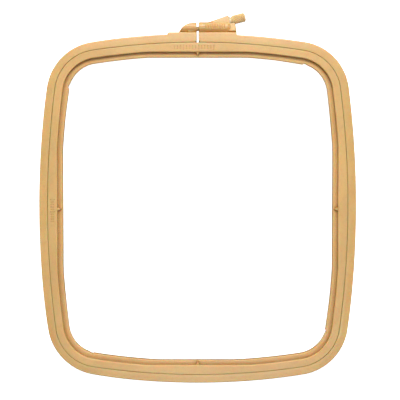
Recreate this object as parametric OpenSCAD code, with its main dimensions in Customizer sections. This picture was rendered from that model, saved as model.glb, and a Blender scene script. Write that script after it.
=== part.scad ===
// Square embroidery hoop, lying flat with its face up.
//
// A split outer ring with two clamp lugs goes round a closed inner ring that
// has a lip along the middle of its inner wall. A thin screw lies across the
// split, tilted away from the ring, so that its knob stands clear of the hoop.
// It turns in a nut held in the left lug and pulls the two ends together.
//
// Every outline is the same closed curve of eight arcs, four slightly bowed
// sides and four corners, taken at a different depth inwards from the outside.
// The origin is the middle of the footprint, at the height of the table.

/* [Outline] */
// Outer ring, width across the middle
hoop_w = 207.2; // [206.2:0.2:208.8]
// Outer ring, length across the middle, without the lugs
hoop_l = 228.2; // [227.2:0.2:229.8]
// Radius of the four corners of the outer outline
corner_r = 34.3; // [33.8:0.1:34.7]
// Distance of a corner's centre from the middle, along the width
corner_x = 64.4; // [64:0.1:64.7]
// Distance of a corner's centre from the middle, along the length
corner_y = 74.9; // [74.4:0.1:75.2]

/* [Rings] */
// Height of both rings
ring_h = 9.5; // [9:0.1:11]
// Radial thickness of the outer ring
outer_band = 5.45; // [5.1:0.05:5.6]
// Clearance between the two rings
ring_gap = 0.3; // [0.25:0.05:0.5]
// Radial thickness of the inner ring at its corners
inner_band = 4.85; // [4.5:0.05:5.1]
// Straight stretch of the inner wall at mid-side, distance from the middle across the width
flat_x = 91.7; // [91.3:0.1:91.9]
// Straight stretch of the inner wall at mid-side, distance from the middle along the length
flat_y = 102.3; // [101.9:0.1:102.5]
// Width of the lip
lip_w = 3.25; // [2:0.05:3.5]
// Thickness of the lip, which is at mid-height
lip_t = 4.7; // [3:0.1:5.6]
// Bevel along the rings' outer edges
edge_bevel = 0.6; // [0.4:0.1:0.8]

/* [Split and lugs] */
// Width of the split in the outer ring
split_w = 1.4; // [1.2:0.1:2.6]
// How far the lug pads stand out from the ring
pad_out = 1.05; // [0.9:0.05:1.3]
// Radius of the round bar that each lug forms round the screw
lug_r = 4; // [3.8:0.1:4.2]
// Distance of the bar's axis outside the ring's outline
lug_out = 3.75; // [3.65:0.05:3.9]

/* [Screw] */
// Tilt of the screw away from the ring
screw_tilt = 14; // [13:0.5:15]
// Diameter of the screw
screw_d = 3; // [2.8:0.1:3.2]
// Diameter of the screw's hole through the lugs
screw_hole_d = 3.4; // [3.4:0.1:3.6]
// Running clearance of the screw in the nut, on the radius
nut_play = 0.05; // [0.03:0.01:0.08]
// Nut, width across its flats
nut_af = 5.5; // [5.3:0.1:5.6]
// Nut, thickness
nut_t = 2.4; // [2.2:0.1:2.6]
// Diameter of the knob
knob_d = 6; // [5.6:0.1:6.2]
// Length of the knob's grip
knob_l = 8.1; // [7:0.1:9]
// Outer diameter of the washer
washer_d = 5.4; // [5:0.1:5.8]

/* [Hidden] */
$fn = 160;

beige = [0.87, 0.71, 0.48];
beige_dark = [0.82, 0.65, 0.42];
steel = [0.72, 0.72, 0.70];
brass = [0.76, 0.64, 0.38];

a = hoop_w / 2;
b = hoop_l / 2;
// radii of the bowed sides, tangent to the corners
ux = a - corner_x;
uy = b - corner_y;
rv = (ux * ux + corner_y * corner_y - corner_r * corner_r) / (2 * (ux - corner_r));
rh = (uy * uy + corner_x * corner_x - corner_r * corner_r) / (2 * (uy - corner_r));
// the sides' centres lie this far beyond the middle
ev = rv - a;
eh = rh - b;
// directions from a side's centre to a corner's centre
v1 = [corner_x + ev, corner_y];
v2 = [corner_x, corner_y + eh];

inner_d = outer_band + ring_gap;
wall_d = inner_d + inner_band;
lip_d = wall_d + lip_w;

mid_h = ring_h / 2;
lip_top = mid_h + lip_t / 2;
lip_foot = mid_h - lip_t / 2;
axis_y = b + lug_out;
// stations along the screw, from the middle of the split, outwards positive
seat_s = 21.4;
washer_t = 0.6;
face_play = 0.05;
collar_s = seat_s + washer_t + 2 * face_play;
grip_s = collar_s + 1.2;
knob_end = grip_s + knob_l;
nut_s = -3.6;
pocket_w = nut_af / 2 + 0.05;
tip_s = -10;

// the knob's far edge sets the end of the footprint
knob_top = axis_y + (knob_end - 0.4) * sin(screw_tilt) + knob_d / 2 * cos(screw_tilt);
shift_y = -(knob_top - b) / 2;

// ---- outlines -------------------------------------------------------------

// the hoop's closed curve, at depth d inside the outer outline
module outline(d) {
    difference() {
        intersection() {
            translate([-ev, 0]) circle(rv - d);
            translate([ev, 0]) circle(rv - d);
            translate([0, -eh]) circle(rh - d);
            translate([0, eh]) circle(rh - d);
        }
        for (sx = [-1, 1], sy = [-1, 1])
            difference() {
                corner_wedge(sx, sy);
                translate([sx * corner_x, sy * corner_y]) circle(corner_r - d);
            }
    }
}

module corner_wedge(sx, sy) {
    polygon([
        [sx * corner_x, sy * corner_y],
        [sx * (corner_x + 0.2 * v1[0]), sy * (corner_y + 0.2 * v1[1])],
        [sx * (corner_x + 0.2 * v1[0] + 0.3 * v2[0]), sy * (corner_y + 0.2 * v1[1] + 0.3 * v2[1])],
        [sx * (corner_x + 0.3 * v2[0]), sy * (corner_y + 0.3 * v2[1])]
    ]);
}

// the curve with straight stretches at mid-side
module inner_outline(d) {
    intersection() {
        outline(d);
        square([2 * (flat_x - (d - wall_d)), 2 * (flat_y - (d - wall_d))], center = true);
    }
}

// a profile swept along the whole curve, x = minus the depth inside the outline
module sweep(profile) {
    for (s = [-1, 1]) {
        // left and right sides
        intersection() {
            translate([-s * ev, 0, 0]) rotate([0, 0, 90 + s * 90]) rotate_extrude() translate([rv, 0]) polygon(profile);
            translate([0, 0, -1]) linear_extrude(ring_h + 2) polygon([
                [s * (-ev + 0.9 * v1[0]), -0.9 * v1[1]], [s * (-ev + 1.2 * v1[0]), -1.2 * v1[1]],
                [s * (-ev + 1.2 * v1[0]), 1.2 * v1[1]], [s * (-ev + 0.9 * v1[0]), 0.9 * v1[1]]
            ]);
        }
        // top and bottom sides
        intersection() {
            translate([0, -s * eh, 0]) rotate([0, 0, -s * 90]) rotate_extrude() translate([rh, 0]) polygon(profile);
            translate([0, 0, -1]) linear_extrude(ring_h + 2) polygon([
                [-0.8 * v2[0], s * (-eh + 0.8 * v2[1])], [-1.4 * v2[0], s * (-eh + 1.4 * v2[1])],
                [1.4 * v2[0], s * (-eh + 1.4 * v2[1])], [0.8 * v2[0], s * (-eh + 0.8 * v2[1])]
            ]);
        }
    }
    // corners
    for (sx = [-1, 1], sy = [-1, 1])
        intersection() {
            translate([sx * corner_x, sy * corner_y, 0]) rotate([0, 0, 90 + 90 * sx])
                rotate_extrude() translate([corner_r, 0]) polygon(profile);
            translate([0, 0, -1]) linear_extrude(ring_h + 2) corner_wedge(sx, sy);
        }
}

function ring_profile(d0, d1, c0, c1) = [
    [-d0, c0], [-d0, ring_h - c0], [-d0 - c0, ring_h], [-d1 + c1, ring_h],
    [-d1, ring_h - c1], [-d1, c1], [-d1 + c1, 0], [-d0 - c0, 0]
];

// ---- placing along the screw ----------------------------------------------

// child's Z runs along the screw, from the knob end's side, its XY plane at station s
module on_screw(s) {
    translate([0, axis_y, mid_h]) rotate([0, 0, screw_tilt]) translate([s, 0, 0]) rotate([0, 90, 0]) children();
}

// ---- outer hoop ------------------------------------------------------------

module pads() {
    linear_extrude(ring_h) {
        polygon([[0, b - 3], [27.2, b - 3], [25.4, b + pad_out], [0, b + pad_out]]);
        polygon([[0, b - 3], [-22.5, b - 3], [-18.7, b + pad_out], [0, b + pad_out]]);
    }
}

// bar round the screw, with a rounded nose on the left and a slanted end on the right
module bar() {
    intersection() {
        translate([-14, axis_y, mid_h]) rotate([0, 90, 0]) cylinder(r = lug_r, h = 41);
        translate([0, 0, -1]) linear_extrude(ring_h + 2) {
            translate([-3.2, axis_y - 5.4]) circle(9.45);
            polygon([[-3.2, b - 4], [26.6, b - 4], [25.95, b + 1.1], [23.9, b + 8.4], [-3.2, b + 8.4]]);
        }
    }
}

// barrel that carries the screw out to the knob
module barrel() {
    on_screw(3) cylinder(h = seat_s - 2.8, r1 = 1.85, r2 = 3.57);
}

module outer_hoop() {
    color(beige) translate([0, shift_y, 0]) difference() {
        union() {
            sweep(ring_profile(0, outer_band, edge_bevel, 0.35));
            pads();
            bar();
            barrel();
        }
        // split, with its inner corners eased
        translate([-split_w / 2, b - 9, -1]) cube([split_w, 20, ring_h + 2]);
        translate([0, b - outer_band, -1]) rotate([0, 0, 45]) cube([2.4, 2.4, 2 * ring_h + 4], center = true);
        // screw hole, through the right lug and blind in the left one
        on_screw(tip_s - 1) cylinder(d = screw_hole_d, h = seat_s - tip_s + 2);
        // seat round the knob, cut clear of the lug
        on_screw(seat_s) cylinder(r = knob_d / 2 + 0.25, h = 14);
        // pocket that the nut drops into from the back
        on_screw(nut_s - nut_t - 0.1) linear_extrude(nut_t + 0.1) polygon([
            [-pocket_w / cos(30), 0], [-pocket_w / cos(30) / 2, pocket_w], [mid_h + 1, pocket_w],
            [mid_h + 1, -pocket_w], [-pocket_w / cos(30) / 2, -pocket_w]
        ]);
    }
}

// ---- inner hoop ------------------------------------------------------------

// small pointed rib against the inner wall that marks a side's middle, pointing along -Y
module centre_mark() {
    w = 1.6;
    l = 2.4;
    t = 0.35;
    polyhedron(
        points = [
            [-w, 0.6, lip_top - 0.4], [w, 0.6, lip_top - 0.4], [0, -l, lip_top - 0.4],
            [-t, 0.6, ring_h - 0.4], [t, 0.6, ring_h - 0.4], [0, -l * 0.5, ring_h - 0.8]
        ],
        faces = [[0, 1, 2], [3, 5, 4], [0, 3, 4, 1], [1, 4, 5, 2], [0, 2, 5, 3]]
    );
}

// shallow nick in the lip's edge, one per corner
module lip_nick() {
    translate([0, 0, -1]) linear_extrude(ring_h + 2) polygon([[-8, -2], [-8, -0.75], [0, 0.75], [5, -1], [5, -2]]);
}

module inner_hoop() {
    // where the lip's corners begin, on the sides and on the top and bottom
    c1 = v1 / norm(v1);
    c2 = v2 / norm(v2);
    n1 = [corner_x + (corner_r - lip_d) * c1[0], corner_y + (corner_r - lip_d) * c1[1]];
    n2 = [corner_x + (corner_r - lip_d) * c2[0], corner_y + (corner_r - lip_d) * c2[1]];
    color(beige_dark) translate([0, shift_y, 0]) {
        difference() {
            sweep(ring_profile(inner_d, inner_d + 12, edge_bevel - 0.2, 0.35));
            translate([0, 0, lip_top]) linear_extrude(ring_h) inner_outline(wall_d);
            translate([0, 0, -1]) linear_extrude(lip_foot + 1) inner_outline(wall_d);
            translate([0, 0, -1]) linear_extrude(ring_h + 2) inner_outline(lip_d);
            for (s = [-1, 1]) {
                translate([s * n2[0], s * n2[1], 0]) rotate([0, 0, -10 + (s < 0 ? 180 : 0)]) lip_nick();
                translate([s * n1[0], -s * n1[1], 0]) rotate([0, 0, -98 + (s < 0 ? 180 : 0)]) lip_nick();
            }
        }
        for (s = [0, 180]) rotate([0, 0, s]) {
            translate([0, flat_y, 0]) centre_mark();
            rotate([0, 0, 90]) translate([0, flat_x, 0]) centre_mark();
        }
    }
}

// ---- screw, nut, washer, knob ------------------------------------------------

module clamp_nut() {
    color(brass) translate([0, shift_y, 0]) on_screw(nut_s - nut_t)
        difference() {
            cylinder(d = nut_af / cos(30), h = nut_t, $fn = 6);
            translate([0, 0, -1]) cylinder(d = screw_d + 2 * nut_play, h = nut_t + 2);
        }
}

module clamp_screw() {
    r = screw_d / 2;
    color(steel) translate([0, shift_y, 0]) on_screw(0) rotate_extrude()
        polygon([
            [0, tip_s], [r - 0.5, tip_s], [r, tip_s + 0.5], [r, grip_s + 2], [r + 0.7, grip_s + 2],
            [r + 0.7, grip_s + 4], [r, grip_s + 4], [r, grip_s + 6], [0, grip_s + 6]
        ]);
}

module screw_knob() {
    r = knob_d / 2;
    h = screw_d / 2 - 0.02;
    color(beige) translate([0, shift_y, 0]) on_screw(0) rotate_extrude()
        polygon([
            [h, collar_s], [2.1, collar_s], [2.1, grip_s], [r - 0.4, grip_s], [r, grip_s + 0.4],
            [r, knob_end - 0.4], [r - 0.5, knob_end + 0.1], [r - 1.5, knob_end + 0.6], [0, knob_end + 0.8],
            [0, grip_s + 6], [h, grip_s + 6], [h, grip_s + 4], [h + 0.7, grip_s + 4],
            [h + 0.7, grip_s + 2], [h, grip_s + 2]
        ]);
}

module knob_washer() {
    color(steel) translate([0, shift_y, 0]) on_screw(seat_s + face_play)
        difference() {
            cylinder(d = washer_d, h = washer_t);
            translate([0, 0, -1]) cylinder(d = screw_d + 0.2, h = washer_t + 2);
        }
}

outer_hoop();
inner_hoop();
clamp_nut();
clamp_screw();
screw_knob();
knob_washer();
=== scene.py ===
import math

import bmesh
import bpy
import numpy as np
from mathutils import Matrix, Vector


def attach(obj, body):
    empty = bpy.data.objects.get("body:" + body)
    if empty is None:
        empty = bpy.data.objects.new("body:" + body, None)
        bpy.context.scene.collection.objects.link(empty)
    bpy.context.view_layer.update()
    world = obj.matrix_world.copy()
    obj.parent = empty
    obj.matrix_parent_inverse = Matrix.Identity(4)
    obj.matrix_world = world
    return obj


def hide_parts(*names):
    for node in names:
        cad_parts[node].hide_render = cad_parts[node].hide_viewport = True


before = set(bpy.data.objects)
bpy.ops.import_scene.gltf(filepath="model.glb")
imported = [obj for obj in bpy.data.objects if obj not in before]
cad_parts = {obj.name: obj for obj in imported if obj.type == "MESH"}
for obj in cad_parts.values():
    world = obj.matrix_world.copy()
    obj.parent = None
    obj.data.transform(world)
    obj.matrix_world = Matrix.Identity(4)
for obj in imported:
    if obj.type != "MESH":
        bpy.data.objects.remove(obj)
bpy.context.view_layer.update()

# Lengths below are millimetres from the middle of the hoop, with Z up from the table.
SHIFT = -7.080233  # the middle of the hoop, along Y, in the row frame
TILT = math.radians(14)  # the screw leans away from the ring
U = np.array([math.cos(TILT), math.sin(TILT), 0.0])  # along the screw, outwards
T = np.array([-math.sin(TILT), math.cos(TILT), 0.0])  # across it, away from the ring
AXIS_Y = 117.85
LUG_Y = 0.45  # the lugs' outlines below are drawn this much nearer the ring
MID = 4.75
TOP = 9.5


# ---- meshes -----------------------------------------------------------------


def new_object(name, verts, faces, smooth_angle=32):
    me = bpy.data.meshes.new(name)
    v = np.asarray(verts, float).copy()
    v[:, 1] += SHIFT
    me.from_pydata((v / 1000.0).tolist(), [], [tuple(int(i) for i in f) for f in faces])
    me.validate()
    bm = bmesh.new()
    bm.from_mesh(me)
    bmesh.ops.recalc_face_normals(bm, faces=bm.faces)
    bm.to_mesh(me)
    bm.free()
    o = bpy.data.objects.new(name, me)
    bpy.context.scene.collection.objects.link(o)
    finish_shading(o, smooth_angle)
    return o


def finish_shading(o, angle):
    me = o.data
    me.polygons.foreach_set("use_smooth", [True] * len(me.polygons))
    me.set_sharp_from_angle(angle=math.radians(angle))
    me.update()


def grid_faces(n, m, close_n=False, close_m=False, offset=0):
    """Quads over n rows of m points."""
    out = []
    for i in range(n if close_n else n - 1):
        a, b = i * m, ((i + 1) % n) * m
        for j in range(m if close_m else m - 1):
            k = (j + 1) % m
            out.append((offset + a + j, offset + a + k, offset + b + k, offset + b + j))
    return out


def boolean(o, cutter, kind):
    m = o.modifiers.new("b", "BOOLEAN")
    m.operation = kind
    m.object = cutter
    m.solver = "EXACT"
    bpy.context.view_layer.update()
    dg = bpy.context.evaluated_depsgraph_get()
    made = bpy.data.meshes.new_from_object(o.evaluated_get(dg))
    o.modifiers.clear()
    old = o.data
    o.data = made
    bpy.data.meshes.remove(old)
    bpy.data.objects.remove(cutter)
    return o


def tidy(o, dist=2e-6):
    """Welds the seams that a cut leaves and drops slivers."""
    bm = bmesh.new()
    bm.from_mesh(o.data)
    bmesh.ops.remove_doubles(bm, verts=bm.verts, dist=dist)
    bmesh.ops.dissolve_degenerate(bm, edges=bm.edges, dist=dist)
    bmesh.ops.recalc_face_normals(bm, faces=bm.faces)
    bm.to_mesh(o.data)
    bm.free()


def smoothstep(a, b, x):
    t = np.clip((x - a) / (b - a), 0, 1)
    return t * t * (3 - 2 * t)


def smax(a, b, k):
    h = np.clip(0.5 + 0.5 * (a - b) / k, 0, 1)
    return b + (a - b) * h + k * h * (1 - h)


def smin(a, b, k):
    return -smax(-a, -b, k)


# ---- the hoop's curve ----------------------------------------------------------

A, B = 103.6, 114.1
CR, CX, CY = 34.3, 64.4, 74.9
RV = ((A - CX) ** 2 + CY**2 - CR**2) / (2 * (A - CX - CR))
RH = ((B - CY) ** 2 + CX**2 - CR**2) / (2 * (B - CY - CR))
EV, EH = RV - A, RH - B
A1 = math.degrees(math.atan2(CY, CX + EV))
A2 = math.degrees(math.atan2(CX, CY + EH))
# centre, radius, first and last angle, counter-clockwise from the middle of the top
ARCS = [
    ((0, -EH), RH, 90, 90 + A2),
    ((-CX, CY), CR, 90 + A2, 180 - A1),
    ((EV, 0), RV, 180 - A1, 180 + A1),
    ((-CX, -CY), CR, 180 + A1, 270 - A2),
    ((0, EH), RH, 270 - A2, 270 + A2),
    ((CX, -CY), CR, 270 + A2, 360 - A1),
    ((-EV, 0), RV, -A1, A1),
    ((CX, CY), CR, A1, 90 - A2),
    ((0, -EH), RH, 90 - A2, 90),
]


class Station:
    def __init__(self, c, r, deg, run):
        self.c, self.r, self.run = np.array(c, float), r, run
        a = math.radians(deg)
        self.n = np.array([math.cos(a), math.sin(a)])

    def at(self, d):
        return self.c + (self.r - d) * self.n

    @property
    def xy(self):
        return self.at(0)


def stations(step, extra=()):
    """Stations along the curve, and the run in mm from the middle of the top. extra holds (first run, last run, step) for finer stretches."""
    total = sum(r * math.radians(b - a) for _, r, a, b in ARCS)
    runs = set(np.round(np.linspace(0, total, int(total / step) + 1), 4).tolist())
    at = 0.0
    for _, r, a, b in ARCS:
        runs.add(round(at, 4))
        at += r * math.radians(b - a)
    for lo, hi, s in extra:
        runs = {v for v in runs if not lo - 0.3 * s < v < hi + 0.3 * s}
        runs |= set(np.round(np.arange(lo, hi + s / 2, s), 4).tolist())
    out = []
    for run in sorted(v for v in runs if -1e-6 <= v <= total + 1e-6):
        at = 0.0
        for k, (c, r, a, b) in enumerate(ARCS):
            length = r * math.radians(b - a)
            if run <= at + length + 1e-6 or k == len(ARCS) - 1:
                out.append(Station(c, r, a + math.degrees((run - at) / r), run))
                break
            at += length
    return out, total


def run_of(arc, share):
    return sum(r * math.radians(b - a) for _, r, a, b in ARCS[:arc]) + share * ARCS[arc][
        1
    ] * math.radians(ARCS[arc][3] - ARCS[arc][2])


LEFT_MID, BOTTOM_MID, RIGHT_MID = run_of(2, 0.5), run_of(4, 0.5), run_of(6, 0.5)
TOTAL = sum(r * math.radians(b - a) for _, r, a, b in ARCS)


def corner(d, z, r, a0, a1, n=6, sd=1, sz=1):
    """Points of a rounded corner. (d, z) is the arc's centre."""
    return [
        (d + sd * r * math.cos(t), z + sz * r * math.sin(t))
        for t in np.linspace(math.radians(a0), math.radians(a1), n)
    ]


# ---- outer hoop ------------------------------------------------------------------

OUT_W = 5.45
SPLIT = 0.7  # half the split's width
FACE_FALL = 0.16  # the outer ring's face falls a little towards its rim


def pad_depth(st):
    """How far the ring's outside stands out at a station, as a negative depth."""
    p, n = st.xy, st.n
    if p[1] < 100:
        return 0.0
    # distance along the normal to the pad's top, its slanted left end and its right end
    top = (B + 1.05 - p[1]) / n[1]
    left = ((p[0] + 19.9) * 2.2 + 112.9 + LUG_Y - p[1]) / (n[1] - 2.2 * n[0])
    right = (112.4 + LUG_Y - (p[0] - 25.75) * 2.6 - p[1]) / (n[1] + 2.6 * n[0])
    out = float(smin(smin(np.array(top), np.array(left), 0.25), np.array(right), 0.25))
    return -max(0.0, out)


def outer_profile(d0, inset=0.0, bite=0.0):
    """Closed loop of (depth, height) points. inset draws it in, as at a rounded end, and bite takes more off the gap side."""
    a, b = d0 + inset + 0.045, OUT_W - inset - bite
    lo, hi = inset, TOP - inset
    r1, r2, r3, r4 = 0.75, 0.15, 0.35, 0.6
    pts = []
    fall = FACE_FALL
    # outer wall, upwards, then the face from the rim to the gap
    pts += [(a, lo + r4 + (hi - fall - r1 - lo - r4) * t) for t in np.linspace(0, 1, 6)]
    pts += corner(a + r1, hi - fall - r1, r1, 180, 90, 8)[1:]
    w0, w1 = a + r1, b - r2
    pts += [
        (w0 + (w1 - w0) * t, hi - fall * (1 - smoothstep(0, 0.75, t)))
        for t in np.linspace(0, 1, 9)[1:]
    ]
    pts += corner(b - r2, hi - r2, r2, 90, 0, 6)[1:]
    pts += [(b, hi - r2 + (lo + r3 - hi + r2) * t) for t in np.linspace(0, 1, 5)[1:]]
    pts += corner(b - r3, lo + r3, r3, 0, -90, 5)[1:]
    pts += [(b - r3 + (a + r4 - b + r3) * t, lo) for t in np.linspace(0, 1, 6)[1:]]
    pts += corner(a + r4, lo + r4, r4, 270, 180, 6)[1:-1]
    return pts


def ring_mesh(name, sts, profile, closed):
    rows = [profile(st, k, len(sts)) for k, st in enumerate(sts)]
    m = len(rows[0])
    v = []
    for st, row in zip(sts, rows):
        for d, z in row:
            p = st.at(d)
            v.append((p[0], p[1], z))
    faces = grid_faces(len(sts), m, close_n=closed, close_m=True)
    if not closed:
        faces.append(tuple(range(m)))
        faces.append(tuple(range((len(sts) - 1) * m, len(sts) * m))[::-1])
    return new_object(name, v, faces)


def eased(run):
    """How much the outer edge is drawn in round three of the corners."""
    out = 0.0
    for arc, depth in ((1, 0.42), (3, 0.85), (5, 0.38)):
        mid = (run_of(arc, 0.0) + run_of(arc + 1, 0.0)) / 2
        out += depth * math.exp(-(((run - mid) / 24.0) ** 2))
    return out


def build_outer():
    half = SPLIT
    r_end = 0.45
    ease = np.array([0, 0.03, 0.1, 0.2, 0.32, 0.45])
    sts, total = stations(
        1.3, [(0.0, 8.0, 0.5), (17.5, 21.5, 0.2), (TOTAL - 27.6, TOTAL - 24.2, 0.2), (TOTAL - 8, TOTAL, 0.5)]
    )
    # end stations at the split, close together so that the ends' rims are round
    runs = [s.run for s in sts if half + 0.46 < s.run < total - half - 0.46]
    ends = [half + e for e in ease] + [half + 0.75, half + 1.0]
    runs = sorted(set(ends + [r for r in runs if half + 1.2 < r < total - half - 1.2] + [total - e for e in ends]))
    all_sts = []
    for run in runs:
        at = 0.0
        for k, (c, r, a, b) in enumerate(ARCS):
            length = r * math.radians(b - a)
            if run <= at + length + 1e-6 or k == len(ARCS) - 1:
                all_sts.append(Station(c, r, a + math.degrees((run - at) / r), run))
                break
            at += length

    def profile(st, k, n):
        e = min(st.run, total - st.run) - half
        inset = 0.0
        if e < r_end:
            inset = r_end - math.sqrt(max(0.0, r_end**2 - (r_end - e) ** 2))
        bite = 0.9 * max(0.0, 1 - e / 1.3) ** 1.3
        return outer_profile(pad_depth(st) + eased(st.run), inset * 0.8, bite)

    return ring_mesh("outer_ring", all_sts, profile, False)


# ---- lugs, as smooth level sets ----------------------------------------------------


def bar_field(y, z):
    """Section of the bar: a soft crest, a slanting flank towards the ring, and a tight round outside."""
    yc, az, ay = 118.6, 4.45, 3.1
    zz = np.abs(z - MID)
    t = np.clip((yc - y) / 2.6, 0, None)
    fall = 1.98 * np.where(t < 1, t**3 - 0.5 * t**4, t - 0.5)
    slope = 0.76 * smoothstep(0, 1, t)
    inner = (zz - (az - fall)) / np.sqrt(1 + slope**2)
    k0 = np.sqrt(((y - yc) / ay) ** 2 + (zz / az) ** 2) + 1e-9
    k1 = np.sqrt(((y - yc) / ay**2) ** 2 + (zz / az**2) ** 2) + 1e-9
    outer = k0 * (k0 - 1) / k1
    return np.where(y < yc, inner, outer)


def left_lug_field(p):
    x, y, z = p[:, 0], p[:, 1] - LUG_Y, p[:, 2]
    s = x * U[0] + (p[:, 1] - AXIS_Y) * U[1]
    t = x * T[0] + (p[:, 1] - AXIS_Y) * T[1]
    # a wall of even thickness over the nut's pocket
    boss = smax(np.sqrt(t**2 + (z - MID) ** 2) - 3.45, np.abs(s + 4.85) - 1.75, 0.4)
    bar = smin(bar_field(y, z), boss, 0.3)
    nose = np.where(
        x < -2.0,
        np.sqrt((x + 2.0) ** 2 + (y - 109.65) ** 2) - 11.5,
        y - 121.15,
    )
    f = smax(bar, nose, 0.5)
    f = smax(f, x + SPLIT, 0.5)  # the split's side
    f = smax(f, 113.0 - y, 0.2)
    return f


def right_lug_field(p):
    x, y, z = p[:, 0], p[:, 1] - LUG_Y, p[:, 2]
    s = x * U[0] + (p[:, 1] - AXIS_Y) * U[1]
    t = x * T[0] + (p[:, 1] - AXIS_Y) * T[1]
    zz = np.abs(z - MID)
    # fine grooves across the bar's crest, for grip
    rib = np.zeros_like(x)
    for k in range(9):
        c = 5.2 + 1.5 * k
        rib = np.maximum(rib, np.exp(-(((x - c) / 0.3) ** 2)))
    rib *= smoothstep(117.0, 117.5, y) * (1 - smoothstep(119.7, 120.2, y)) * (z > MID)
    bar = bar_field(y, z) + 0.3 * rib
    bar = smax(bar, x - 21.3, 2.6)
    # flat-topped block that widens outwards with the screw, and ends in a slant
    side = t - (2.21 + (s - 7.25) * 0.0962)
    height = zz - (2.72 - 0.10 * (y - 120.5)) + 1.5 * (1 - smoothstep(114.6, 116.0, y))
    end = (x - 25.35) * 0.9855 + (y - 114.9) * 0.170
    block = smax(side, height, 1.0)
    block = smax(block, end, 0.6)
    block = smax(block, 1.6 - s, 0.5)
    # it starts behind the bar's crest, except past the bar's end
    block = smax(block, 118.6 - y - 8 * smoothstep(19.4, 21.6, x), 0.4)
    f = smin(bar, block, 0.45)
    f = smax(f, SPLIT - x, 0.5)
    f = smax(f, 113.0 - y, 0.2)
    # room for the washer and the knob
    seat = smax(21.4 - s, np.sqrt(np.where(t > 0, 0.4 * t, t) ** 2 + zz**2) - 3.3, 0.15)
    f = smax(f, -seat, 0.2)
    # end of the barrel round the screw
    hole = np.sqrt(t**2 + zz**2) - 1.7
    f = smax(f, -hole, 0.25)
    return f


def level_set(name, field, lo, hi, h):
    """A closed quad mesh of field = 0: one vertex in each cell that the surface crosses, then moved onto it."""
    lo, hi = np.array(lo, float), np.array(hi, float)
    n = np.ceil((hi - lo) / h).astype(int) + 1
    ax = [lo[k] + h * np.arange(n[k]) for k in range(3)]
    g = np.stack(np.meshgrid(*ax, indexing="ij"), -1).reshape(-1, 3)
    f = field(g).reshape(n)
    inside = f < 0
    total = np.zeros([*(n - 1), 3])
    count = np.zeros(n - 1)
    base = np.stack(np.meshgrid(*[np.arange(k) for k in n], indexing="ij"), -1).astype(float)
    for axis in range(3):
        a = [slice(None)] * 3
        b = [slice(None)] * 3
        a[axis], b[axis] = slice(0, -1), slice(1, None)
        fa, fb = f[tuple(a)], f[tuple(b)]
        cross = (fa < 0) != (fb < 0)
        w = np.where(cross, fa / np.where(cross, fa - fb, 1), 0)
        pt = base[tuple(a)].copy()
        pt[..., axis] += w
        others = [k for k in range(3) if k != axis]
        for i in (0, 1):
            for j in (0, 1):
                src, dst = [slice(None)] * 3, [slice(None)] * 3
                for k, o in zip(others, (i, j)):
                    # the edge at index q touches the cells q and q - 1
                    src[k] = slice(o, n[k] - 1 + o)
                    dst[k] = slice(0, n[k] - 1)
                c = cross[tuple(src)]
                total[tuple(dst)] += pt[tuple(src)] * c[..., None]
                count[tuple(dst)] += c
    cell = count > 0
    index = -np.ones(n - 1, int)
    index[cell] = np.arange(cell.sum())
    v = total[cell] / count[cell][:, None] * h + lo
    faces = []
    for axis in range(3):
        b, c = [(1, 2), (2, 0), (0, 1)][axis]
        a0 = [slice(None)] * 3
        a1 = [slice(None)] * 3
        a0[axis], a1[axis] = slice(0, -1), slice(1, None)
        cross = inside[tuple(a0)] != inside[tuple(a1)]
        flip = inside[tuple(a0)]
        q = np.argwhere(cross)
        ok = (q[:, b] > 0) & (q[:, c] > 0) & (q[:, b] < n[b] - 1) & (q[:, c] < n[c] - 1)
        q = q[ok]
        sign = flip[tuple(q.T)]
        eb, ec = np.eye(3, dtype=int)[b], np.eye(3, dtype=int)[c]
        quad = np.stack(
            [index[tuple((q - eb - ec).T)], index[tuple((q - ec).T)], index[tuple(q.T)], index[tuple((q - eb).T)]], 1
        )
        quad[~sign] = quad[~sign][:, ::-1]
        faces.append(quad)
    faces = np.concatenate(faces)
    for _ in range(5):
        e = 1e-4
        val = field(v)
        grad = np.stack([(field(v + e * d) - field(v - e * d)) / (2 * e) for d in np.eye(3)], 1)
        step = val[:, None] * grad / np.maximum((grad**2).sum(1), 0.2)[:, None]
        v = v - np.clip(step, -h / 2, h / 2)
    return new_object(name, v, faces, 40)


# ---- inner hoop ----------------------------------------------------------------------

IN_D, WALL_D, LIP_D = 5.68, 10.6, 13.85
FLAT_X, FLAT_Y, LIP_W = 91.7, 102.3, 3.25
LIP_TOP, LIP_FOOT = 7.1, 2.4


def clip_depth(st, inward):
    """Depth at which the wall runs straight at mid-side, 0 where it doesn't."""
    if abs(st.n[0]) > abs(st.n[1]):
        e, flat, n = st.c[0], FLAT_X - inward, st.n[0]
        return st.r - (flat * math.copysign(1, n) - e) / n if abs(st.r - RV) < 1 else 0.0
    e, flat, n = st.c[1], FLAT_Y - inward, st.n[1]
    return st.r - (flat * math.copysign(1, n) - e) / n if abs(st.r - RH) < 1 else 0.0


# the lip's nicks: run of the tangent point, which way the corner lies from it,
# how much the lip widens up to it, and how far into the corner it is
NICKS = [
    (run_of(2, 0.0), -1, 0.38, 3.0),  # upper left, on the left side
    (run_of(4, 0.0), -1, 0.05, 2.6),  # lower left, on the bottom
    (run_of(6, 0.0), -1, 0.38, 4.1),  # lower right, on the right side
    (run_of(8, 0.0), -1, 0.38, 3.0),  # upper right, on the top
]


def nick(run):
    """How much the lip's edge steps out at a nick, in mm. Negative values widen the lip."""
    out = 0.0
    for at, way, wide, off in NICKS:
        u = (run - at) * way - off  # positive into the corner
        if -24 < u < 6:
            out -= wide * float(smoothstep(-24, -3, u)) * (1 - float(smoothstep(-0.9, 0.3, u)))
            out += 0.42 * float(smoothstep(-0.9, 0.3, u)) * (1 - float(smoothstep(0.5, 6, u)))
    return out


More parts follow.
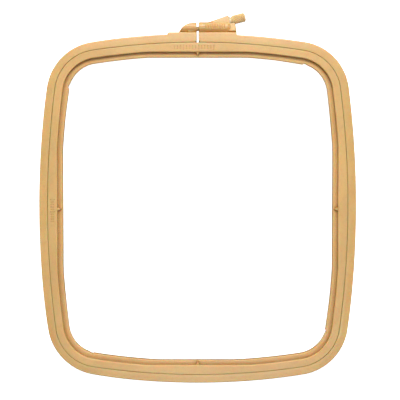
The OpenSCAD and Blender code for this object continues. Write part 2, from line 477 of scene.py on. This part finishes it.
TICKS_TOP = [(-10.6 + 2.0 * k, 2.2 if k % 5 else 3.2) for k in range(14)]
TICKS_LEFT = [(-6.4 + 1.6 * k, 2.2 if k % 5 else 3.2) for k in range(10)]


def tick_at(run, total):
    """Depth and length of the engraved scale at this station."""
    for marks, mid in ((TICKS_TOP, 0.0), (TICKS_TOP, total), (TICKS_LEFT, LEFT_MID)):
        for off, length in marks:
            if abs(run - mid - off) < 0.34:
                return 0.17, length
    return 0.0, 1.9


def inner_profile(st, total):
    wall = float(smax(np.array(WALL_D), np.array(clip_depth(st, 0.0)), 0.25))
    # the lip looks a little narrower along the bottom
    width = LIP_W - (0.45 if st.n[1] < -0.7 else 0.0)
    lip = float(smax(np.array(LIP_D), np.array(clip_depth(st, width)), 0.25)) - nick(st.run)
    # the centre mark's rib, if the station crosses one
    u = min(abs(st.run - m) for m in (0.0, total, LEFT_MID, BOTTOM_MID, RIGHT_MID))

    def rib(z):
        if u > 1.7 or z < LIP_TOP - 0.2:
            return 0.0
        q = min(1.0, max(0.0, (z - LIP_TOP) / 2.0))
        w = 1.65 * (1 - q) + 0.6 * q
        length = 2.8 - 0.9 * q
        over = 1 - float(smoothstep(8.9, 9.3, z))
        return max(0.0, 1 - u / w) * length * over

    r1, r2, r3, r4, r5, r6 = 0.15, 0.7, 0.35, 0.55, 1.2, 0.4
    pts = [(IN_D, r6 + (TOP - r1 - r6) * t) for t in np.linspace(0, 1, 5)]
    pts += corner(IN_D + r1, TOP - r1, r1, 180, 90, 6)[1:]
    a, b = IN_D + r1, wall - r2
    deep, length = tick_at(st.run, total)
    mid = (IN_D + wall) / 2
    d0, d1 = mid - length / 2, mid + length / 2
    pts += [
        (a + (d0 - a) * 0.5, TOP), (d0, TOP), (d0 + 0.12, TOP - deep), (mid, TOP - deep),
        (d1 - 0.12, TOP - deep), (d1, TOP), (b + (d1 - b) * 0.5, TOP),
    ]
    pts += corner(wall - r2, TOP - r2, r2, 90, 0, 7)
    # down the wall, with the rib standing on it
    top = len(pts)
    for z in np.linspace(TOP - r2, LIP_TOP + r3, 12)[1:]:
        pts.append((wall, float(z)))
    pts += [(wall + r3 - r3 * math.cos(t), LIP_TOP + r3 - r3 * math.sin(t)) for t in np.linspace(0, math.pi / 2, 5)[1:]]
    for k in range(top, len(pts)):
        d, z = pts[k]
        pts[k] = (max(d, wall + rib(z)), z)
    foot = pts[-1][0]
    tip = max(lip - r4, foot + 0.02)
    pts += [(foot + (tip - foot) * t, LIP_TOP) for t in np.linspace(0, 1, 5)[1:]]
    pts += corner(lip - r4, LIP_TOP - r4, r4, 90, 0, 9)[1:]
    pts += [(lip, LIP_TOP - r4 + (LIP_FOOT + r5 - LIP_TOP + r4) * t) for t in np.linspace(0, 1, 4)[1:]]
    pts += corner(lip - r5, LIP_FOOT + r5, r5, 0, -90, 9)[1:]
    pts += [(lip - r5 + (wall + r3 - lip + r5) * t, LIP_FOOT) for t in np.linspace(0, 1, 4)[1:]]
    pts += [(wall + r3 - r3 * math.sin(t), LIP_FOOT - r3 + r3 * math.cos(t)) for t in np.linspace(0, math.pi / 2, 5)[1:]]
    pts += [(wall, LIP_FOOT - r3 + (r6 - LIP_FOOT + r3) * t) for t in np.linspace(0, 1, 5)[1:]]
    pts += corner(wall - r6, r6, r6, 0, -90, 5)[1:]
    pts += [(wall - r6 + (IN_D + r6 - wall + r6) * t, 0.0) for t in np.linspace(0, 1, 6)[1:]]
    pts += corner(IN_D + r6, r6, r6, 270, 180, 5)[1:-1]
    return pts


def build_inner():
    tick_runs = []
    for marks, mid in ((TICKS_TOP, 0.0), (TICKS_TOP, TOTAL), (TICKS_LEFT, LEFT_MID)):
        for off, _ in marks:
            tick_runs += [mid + off - 0.44, mid + off - 0.3, mid + off + 0.3, mid + off + 0.44]
    marks = []
    for m in (0.0, TOTAL, LEFT_MID, BOTTOM_MID, RIGHT_MID):
        marks += [m + e for e in (-1.7, -1.6, -1.45, -1.25, -1.05, -0.85, -0.65, -0.52, -0.42, -0.28, -0.14, 0)]
        marks += [m + e for e in (1.7, 1.6, 1.45, 1.25, 1.05, 0.85, 0.65, 0.52, 0.42, 0.28, 0.14)]
    nicks = []
    for at, way, _, _ in NICKS:
        nicks += [at + way * e for e in np.arange(-7, 9.01, 0.4)]
    base, total = stations(1.25)
    runs = sorted(r for r in [s.run for s in base] + tick_runs + marks + nicks if -1e-9 <= r < total - 1e-6)
    keep = []
    for r in runs:
        if keep and r - keep[-1] < 0.055:
            continue
        keep.append(r)
    sts = []
    for run in keep:
        at = 0.0
        for k, (c, r, a, b) in enumerate(ARCS):
            length = r * math.radians(b - a)
            if run <= at + length + 1e-6 or k == len(ARCS) - 1:
                sts.append(Station(c, r, a + math.degrees((run - at) / r), run))
                break
            at += length
    return ring_mesh("inner_ring", sts, lambda st, k, n: inner_profile(st, total), True)


# ---- turned pieces along the screw ---------------------------------------------------


def placed(s, t, z):
    """Points given along the screw, across it and up from its axis."""
    s, t, z = np.asarray(s, float), np.asarray(t, float), np.asarray(z, float)
    p = s[..., None] * U + t[..., None] * T
    p[..., 1] += AXIS_Y
    p[..., 2] += MID + z
    return p.reshape(-1, 3)


def turned(name, loop, n=96, radius=None, angle=35):
    """A solid turned from a closed loop of (station, radius) points. Points at radius 0 become one vertex. radius(s, r, a) can shape it."""
    verts, rows = [], []
    ang = np.linspace(0, 2 * np.pi, n, endpoint=False)
    for s, r in loop:
        if r < 1e-9:
            verts.append(placed([s], [0], [0])[0])
            rows.append([len(verts) - 1])
            continue
        rr = np.full(n, r) if radius is None else radius(s, r, ang)
        p = placed(np.full(n, s), rr * np.cos(ang), rr * np.sin(ang))
        rows.append(list(range(len(verts), len(verts) + n)))
        verts += list(p)
    faces = []
    pairs = list(zip(rows, rows[1:]))
    if len(rows[0]) > 1 and len(rows[-1]) > 1:
        pairs.append((rows[-1], rows[0]))
    for a, b in pairs:
        if len(a) == 1 and len(b) == 1:
            continue
        for k in range(n):
            j = (k + 1) % n
            if len(a) == 1:
                faces.append((a[0], b[k], b[j]))
            elif len(b) == 1:
                faces.append((a[k], b[0], a[j]))
            else:
                faces.append((a[k], b[k], b[j], a[j]))
    return new_object(name, verts, faces, angle)


SEAT, COLLAR, GRIP, KNOB_END = 21.4, 22.1, 23.3, 31.4


def build_knob():
    bore = 1.52
    r = 2.94
    starts = 12

    def tri(x):
        return np.abs((x + 0.5) % 1.0 - 0.5) * 2  # 0 on a groove, 1 between grooves

    def shape(s, rr, a):
        if rr < 2.4 or s < GRIP + 0.25 or s > KNOB_END - 0.25:
            return np.full(len(a), rr)
        edge = min(1.0, (s - GRIP - 0.25) / 0.35, (KNOB_END - 0.25 - s) / 0.35)
        w = a * starts / (2 * np.pi)
        k = (s - GRIP) / 1.5
        g1, g2 = tri(w + k), tri(w - k)
        g = np.minimum(np.minimum(g1, g2) * 1.4, 1.0)
        return rr - 0.6 * max(0.0, edge) * (1 - g)

    loop = [(GRIP + 6, bore), (GRIP + 3, bore), (COLLAR + 0.1, bore), (COLLAR, bore + 0.1), (COLLAR, 1.95)]
    loop += [(COLLAR + 0.15 - 0.15 * math.cos(t), 1.95 + 0.15 * math.sin(t)) for t in np.linspace(0, math.pi / 2, 4)[1:]]
    loop += [(GRIP - 0.25, 2.1)]
    loop += [(GRIP - 0.25 * math.cos(t), 2.35 - 0.25 * math.sin(math.pi / 2 - t) + 0.0) for t in np.linspace(0.3, math.pi / 2, 3)]
    loop += [(GRIP, 2.5), (GRIP + 0.05, r - 0.25), (GRIP + 0.22, r - 0.06)]
    loop += [(float(s), r) for s in np.arange(GRIP + 0.3, KNOB_END - 0.25, 0.075)]
    loop += [(KNOB_END - 0.2, r), (KNOB_END - 0.05, r - 0.05), (KNOB_END + 0.1, r - 0.2), (KNOB_END + 0.25, r - 0.55)]
    loop += [(KNOB_END + 0.25 + 0.5 * math.sin(t), (r - 0.55) * math.cos(t)) for t in np.linspace(0, math.pi / 2, 8)[1:-1]]
    loop += [(KNOB_END + 0.75, 0)]
    loop += [(GRIP + 6, 0)]
    loop = [(s, max(q, 0.0)) for s, q in loop]
    return turned("knurled_knob", loop, 360, shape, 50)


def build_screw():
    pitch, r0, depth = 0.5, 1.5, 0.29
    n = 64
    s0, s1 = -10.0, 29.2
    step = pitch / 10
    s = np.arange(s0, s1 + step / 2, step)
    ang = np.linspace(0, 2 * np.pi, n, endpoint=False)
    verts = [placed([s0], [0], [0])[0]]
    for v in s:
        ph = ((v / pitch - ang / (2 * np.pi)) % 1.0) * 2 - 1
        cut = np.clip((1 - np.abs(ph)) * 1.35 - 0.12, 0, 1)
        rr = r0 - depth * cut
        # chamfered tip
        rr = np.minimum(rr, 1.02 + (v - s0))
        if v > GRIP + 2:
            rr = np.full(n, 1.3)
        verts += list(placed(np.full(n, v), rr * np.cos(ang), rr * np.sin(ang)))
    verts.append(placed([s1], [0], [0])[0])
    faces = grid_faces(len(s), n, close_m=True, offset=1)
    last = len(verts) - 1
    for k in range(n):
        j = (k + 1) % n
        faces.append((0, 1 + j, 1 + k))
        faces.append((last, last - n + k, last - n + j))
    return new_object("threaded_screw", verts, faces, 60)


def build_nut():
    af, t, s_mid = 5.5, 2.4, -4.8
    n = 144
    ang = np.linspace(0, 2 * np.pi, n, endpoint=False)
    rc = af / 2 * 0.96
    rh = (af / 2) / np.cos((ang + np.pi / 6) % (np.pi / 3) - np.pi / 6)
    drop = (rh - rc) * math.tan(math.radians(30))
    rows = []

    def row(s, r):
        rows.append(placed(s_mid + np.broadcast_to(s, ang.shape), r * np.cos(ang), r * np.sin(ang)))

    one = np.ones(n)
    h = t / 2
    turns = 10
    # bore, with a thread of rings too fine to tell from a helix, and its countersinks
    row(-h + 0.0, 1.78 * one)
    row(-h + 0.25, 1.56 * one)
    for k in range(turns):
        row(-h + 0.25 + (t - 0.5) * (k + 0.5) / turns, (1.56 + 0.06 * (k % 2)) * one)
    row(h - 0.25, 1.56 * one)
    row(h, 1.78 * one)
    row(h, (1.78 + rc) / 2 * one)
    row(h, rc * one)
    row(h - drop * 0.5, (rc + rh) / 2)
    row(h - drop, rh)
    row(h * 0.3, rh)
    row(-h * 0.3, rh)
    row(-h + drop, rh)
    row(-h + drop * 0.5, (rc + rh) / 2)
    row(-h, rc * one)
    row(-h, (1.78 + rc) / 2 * one)
    v = np.concatenate(rows)
    return new_object("hex_nut", v, grid_faces(len(rows), n, close_n=True, close_m=True), 25)


def build_washer():
    s0, s1, ro, ri, r = SEAT + 0.05, SEAT + 0.65, 2.7, 1.62, 0.1
    loop = [(s0, ri + r)]
    loop += [(s0, ro - r), (s0 + r * 0.3, ro - r * 0.3), (s0 + r, ro), (s1 - r, ro), (s1 - r * 0.3, ro - r * 0.3), (s1, ro - r)]
    loop += [(s1, ri + r), (s1 - r, ri), (s0 + r, ri)]
    return turned("flat_washer", loop, 96, None, 40)


# ---- materials --------------------------------------------------------------------------


def node_tree(name):
    m = bpy.data.materials.new(name)
    m.use_nodes = True
    nt = m.node_tree
    nt.nodes.clear()
    out = nt.nodes.new("ShaderNodeOutputMaterial")
    bsdf = nt.nodes.new("ShaderNodeBsdfPrincipled")
    nt.links.new(bsdf.outputs["BSDF"], out.inputs["Surface"])
    return m, nt, bsdf


def noise(nt, coord, scale, detail=3.0, rough=0.55, stretch=None):
    if stretch:
        mp = nt.nodes.new("ShaderNodeMapping")
        mp.inputs["Scale"].default_value = stretch
        nt.links.new(coord, mp.inputs["Vector"])
        coord = mp.outputs["Vector"]
    t = nt.nodes.new("ShaderNodeTexNoise")
    t.inputs["Scale"].default_value = scale
    t.inputs["Detail"].default_value = detail
    t.inputs["Roughness"].default_value = rough
    nt.links.new(coord, t.inputs["Vector"])
    return t.outputs["Fac"]


def ramp(nt, fac, stops):
    r = nt.nodes.new("ShaderNodeValToRGB")
    r.color_ramp.interpolation = "EASE"
    while len(r.color_ramp.elements) < len(stops):
        r.color_ramp.elements.new(0.5)
    for e, (pos, col) in zip(r.color_ramp.elements, stops):
        e.position = pos
        e.color = (*col, 1) if len(col) == 3 else col
    nt.links.new(fac, r.inputs["Fac"])
    return r.outputs["Color"]


def mix_colour(nt, fac, a, b, kind="MIX"):
    m = nt.nodes.new("ShaderNodeMix")
    m.data_type = "RGBA"
    m.blend_type = kind
    ins = {s.identifier: s for s in m.inputs}
    for key, v in (("Factor_Float", fac), ("A_Color", a), ("B_Color", b)):
        if isinstance(v, (int, float)):
            ins[key].default_value = v
        elif isinstance(v, tuple):
            ins[key].default_value = (*v, 1)
        else:
            nt.links.new(v, ins[key])
    return [o for o in m.outputs if o.identifier == "Result_Color"][0]


def maths(nt, op, a, b):
    m = nt.nodes.new("ShaderNodeMath")
    m.operation = op
    for k, v in enumerate((a, b)):
        if isinstance(v, (int, float)):
            m.inputs[k].default_value = v
        else:
            nt.links.new(v, m.inputs[k])
    return m.outputs[0]


def bump(nt, bsdf, height, strength, distance):
    b = nt.nodes.new("ShaderNodeBump")
    b.inputs["Strength"].default_value = strength
    b.inputs["Distance"].default_value = distance
    nt.links.new(height, b.inputs["Height"])
    nt.links.new(b.outputs["Normal"], bsdf.inputs["Normal"])


def plastic(name, base, rough=0.43, seed=0.0, cloudy=0.7, shade_colour=(0.66, 0.45, 0.29), shade_reach=0.35):
    """Warm beige moulded plastic: slightly cloudy, with a fine satin grain, and painted shade in its corners and
    grooves.
    """
    m, nt, bsdf = node_tree(name)
    tc = nt.nodes.new("ShaderNodeTexCoord")
    mp = nt.nodes.new("ShaderNodeMapping")
    mp.inputs["Location"].default_value = (seed, seed * 0.7, seed * 1.3)
    nt.links.new(tc.outputs["Object"], mp.inputs["Vector"])
    co = mp.outputs["Vector"]
    cloud = noise(nt, co, 38, 3.0, 0.5)
    mottle = noise(nt, co, 330, 4.0, 0.6)
    speck = noise(nt, co, 1500, 2.0, 0.5)
    base = np.array(base)
    low, high = tuple(base * (0.955, 0.945, 0.925)), tuple(np.minimum(base * (1.03, 1.035, 1.05), 1))
    c1 = ramp(nt, cloud, [(0.32, low), (0.68, high)])
    c2 = ramp(nt, mottle, [(0.3, (0.955, 0.95, 0.94)), (0.55, (1, 1, 1)), (0.75, (1.0, 0.995, 0.985))])
    c3 = ramp(nt, speck, [(0.34, (0.965, 0.955, 0.94)), (0.5, (1, 1, 1))])
    col = mix_colour(nt, 1.0, c1, c2, "MULTIPLY")
    col = mix_colour(nt, 0.7, col, c3, "MULTIPLY")
    # painted shade: an ambient-occlusion mask darkens and browns the base colour in corners, grooves and gaps, standing
    # in for shade and for warm light bounced between the surfaces
    ao = nt.nodes.new("ShaderNodeAmbientOcclusion")
    ao.samples = 6
    ao.inputs["Distance"].default_value = 0.003
    deep = ramp(nt, ao.outputs["AO"], [(shade_reach, shade_colour), (1.0, (1, 1, 1))])
    col = mix_colour(nt, 1.0, col, deep, "MULTIPLY")
    nt.links.new(col, bsdf.inputs["Base Color"])
    # painted shade on the reflections too: the specular level falls with the same occlusion mask, so corners and gaps
    # shine less
    shine_dimmed_by_shade = maths(nt, "MULTIPLY", maths(nt, "POWER", ao.outputs["AO"], 2.0), 0.5)
    nt.links.new(shine_dimmed_by_shade, bsdf.inputs["Specular IOR Level"])
    r = maths(nt, "MULTIPLY_ADD", mottle, 0.16)
    r.node.inputs[2].default_value = rough - 0.08
    nt.links.new(r, bsdf.inputs["Roughness"])
    h = maths(nt, "MULTIPLY_ADD", speck, 0.6)
    nt.links.new(mottle, h.node.inputs[2])
    bump(nt, bsdf, h, 0.22, 0.00012)
    bsdf.inputs["IOR"].default_value = 1.5
    bsdf.inputs["Subsurface Weight"].default_value = cloudy
    bsdf.inputs["Subsurface Radius"].default_value = (0.0026, 0.0006, 0.0002)
    bsdf.inputs["Subsurface Scale"].default_value = 1.0
    return m


def steel(name, base, rough, scale, metal=0.85):
    m, nt, bsdf = node_tree(name)
    tc = nt.nodes.new("ShaderNodeTexCoord")
    co = tc.outputs["Object"]
    a = noise(nt, co, scale, 4.0, 0.6)
    b = noise(nt, co, scale * 6, 2.0, 0.5)
    base = np.array(base)
    c1 = ramp(nt, a, [(0.3, tuple(base * 0.86)), (0.7, tuple(np.minimum(base * 1.08, 1)))])
    c2 = ramp(nt, b, [(0.35, (0.86, 0.85, 0.83)), (0.55, (1, 1, 1))])
    nt.links.new(mix_colour(nt, 0.8, c1, c2, "MULTIPLY"), bsdf.inputs["Base Color"])
    bsdf.inputs["Metallic"].default_value = metal
    r = maths(nt, "MULTIPLY_ADD", b, 0.18)
    r.node.inputs[2].default_value = rough - 0.09
    nt.links.new(r, bsdf.inputs["Roughness"])
    bump(nt, bsdf, b, 0.2, 0.00003)
    return m


# ---- build --------------------------------------------------------------------------------

outer = build_outer()
left = level_set("left_lug", left_lug_field, (-13.4, 112.8, 0.0), (-0.6, 122.9, 9.6), 0.2)
right = level_set("right_lug", right_lug_field, (0.5, 112.8, 0.0), (27.4, 127.6, 9.6), 0.18)
outer = boolean(outer, left, "UNION")
outer = boolean(outer, right, "UNION")


def rod(name, s0, s1, r, n=72):
    ang = np.linspace(0, 2 * np.pi, n, endpoint=False)
    v = np.concatenate([placed(np.full(n, s), r * np.cos(ang), r * np.sin(ang)) for s in (s0, s1)])
    faces = grid_faces(2, n, close_m=True) + [tuple(range(n)), tuple(range(n, 2 * n))[::-1]]
    return new_object(name, v, faces)


# pocket for the nut, open to the back, and the screw's hole through it
w = 2.8
wr = w / math.cos(math.pi / 6)
plan = [(wr, 0), (wr / 2, w), (-MID - 1, w), (-MID - 1, -w), (wr / 2, -w)]  # height above the axis, across
pocket = np.concatenate([placed([s] * 5, [t for _, t in plan], [z for z, _ in plan]) for s in (-6.1, -3.6)])
cut = new_object("cut_pocket", pocket, [tuple(range(5)), tuple(range(5, 10))[::-1]] + grid_faces(2, 5, close_m=True))
outer = boolean(outer, cut, "DIFFERENCE")
outer = boolean(outer, rod("cut_hole", -11.0, 0.15, 1.7), "DIFFERENCE")
tidy(outer)
outer.name = "outer_hoop_moulding"
finish_shading(outer, 34)

inner = build_inner()
inner.name = "inner_hoop_moulding"
finish_shading(inner, 34)
knob = build_knob()
screw = build_screw()
nut = build_nut()
washer = build_washer()

BEIGE = (0.725, 0.460, 0.176)
# the last arguments give each plastic's painted shade colour for corners and grooves, and how far out of them it
# reaches
mat_outer = plastic("outer_plastic", BEIGE, 0.34, 0.0, shade_colour=(0.82, 0.68, 0.54))
mat_inner = plastic("inner_plastic", BEIGE, 0.37, 3.1, shade_colour=(0.52, 0.31, 0.19), shade_reach=0.42)
mat_knob = plastic("knob_plastic", (0.90, 0.68, 0.36), 0.40, 5.7, 0.2, shade_colour=(0.9, 0.8, 0.7))
mat_screw = steel("screw_steel", (0.84, 0.66, 0.38), 0.42, 900)
mat_nut = steel("nut_steel", (0.66, 0.60, 0.46), 0.34, 600)
mat_washer = steel("washer_steel", (0.88, 0.76, 0.56), 0.5, 700, 0.35)

for piece, material, slot, body, node in (
    (outer, mat_outer, "outer_plastic", "outer_hoop", "outer_hoop"),
    (inner, mat_inner, "inner_plastic", "inner_hoop", "inner_hoop"),
    (knob, mat_knob, "knob_plastic", "clamp_screw", "screw_knob"),
    (screw, mat_screw, "screw_steel", "clamp_screw", "clamp_screw"),
    (nut, mat_nut, "nut_steel", "outer_hoop", "clamp_nut"),
    (washer, mat_washer, "washer_steel", "knob_washer", "knob_washer"),
):
    piece.data.materials.clear()
    piece.data.materials.append(material)
    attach(piece, body)
    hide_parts(node)

# ---- floor, light and camera ------------------------------------------------------------------

floor_mesh = bpy.data.meshes.new("floor")
floor_mesh.from_pydata([(-6, -6, -0.0002), (6, -6, -0.0002), (6, 6, -0.0002), (-6, 6, -0.0002)], [], [(0, 1, 2, 3)])
floor = bpy.data.objects.new("floor", floor_mesh)
bpy.context.scene.collection.objects.link(floor)
fm, fnt, fb = node_tree("floor_white")
fb.inputs["Base Color"].default_value = (0.9, 0.9, 0.9, 1)
fb.inputs["Roughness"].default_value = 0.9
fb.inputs["Emission Color"].default_value = (1, 1, 1, 1)
fb.inputs["Emission Strength"].default_value = 1.0
floor.data.materials.append(fm)
floor.visible_diffuse = False
floor.visible_glossy = False


def softbox(name, place, aim, size, power, colour=(1, 1, 1)):
    d = bpy.data.lights.new(name, "AREA")
    d.shape = "RECTANGLE"
    d.size, d.size_y = size
    d.energy = power
    d.color = colour
    o = bpy.data.objects.new(name, d)
    bpy.context.scene.collection.objects.link(o)
    o.location = place
    direction = np.array(aim, float) - np.array(place, float)
    o.rotation_mode = "QUATERNION"
    o.rotation_quaternion = Vector(direction).to_track_quat("-Z", "Y")
    return o


softbox("top20", (0.0, 0.42, 1.22), (0, 0, 0), (0.45, 0.3), 2.6)
softbox("top40", (0.06, 0.84, 1.00), (0, 0, 0), (0.5, 0.3), 13.2)
softbox("left", (-1.0, 0.1, 0.85), (0, 0, 0), (0.6, 0.4), 1.0)
softbox("right", (1.0, 0.1, 0.85), (0, 0, 0), (0.6, 0.4), 1.0)
softbox("low15", (0.05, -0.40, 1.22), (0, 0, 0), (0.5, 0.35), 3.7)
# low ones all round, as from a bright table, which light only the outsides
softbox("rim_top", (0.0, 1.3, 0.010), (0, 0, 0.004), (1.2, 0.02), 3.5)
softbox("rim_left", (-1.3, 0.0, 0.010), (0, 0, 0.004), (1.2, 0.02), 4.0)
softbox("rim_right", (1.3, 0.0, 0.010), (0, 0, 0.004), (1.2, 0.02), 3.0)
softbox("rim_low", (0.0, -1.3, 0.010), (0, 0, 0.004), (1.2, 0.02), 2.0)
# and the table's own light on the edges inside the hoop
softbox("table", (0.0, 0.0, 0.0004), (0, 0, 1), (0.17, 0.19), 0.09).visible_camera = False

world = bpy.data.worlds.new("studio")
bpy.context.scene.world = world
world.use_nodes = True
world.node_tree.nodes["Background"].inputs["Color"].default_value = (1, 1, 1, 1)
world.node_tree.nodes["Background"].inputs["Strength"].default_value = 0.02

cam_data = bpy.data.cameras.new("camera")
cam_data.lens = 36.0 / 260.8 * 600.0
cam_data.sensor_width = 36.0
cam_data.clip_start, cam_data.clip_end = 0.01, 20
cam = bpy.data.objects.new("camera", cam_data)
bpy.context.scene.collection.objects.link(cam)
cam.location = (0.0015, 0.0170, 0.6095)
cam.rotation_euler = (-0.0300, 0, 0)
bpy.context.scene.camera = cam

scene = bpy.context.scene
scene.view_settings.view_transform = "Standard"
scene.view_settings.look = "None"
scene.view_settings.exposure = 0.0
scene.view_settings.gamma = 1.0

bpy.context.view_layer.update()
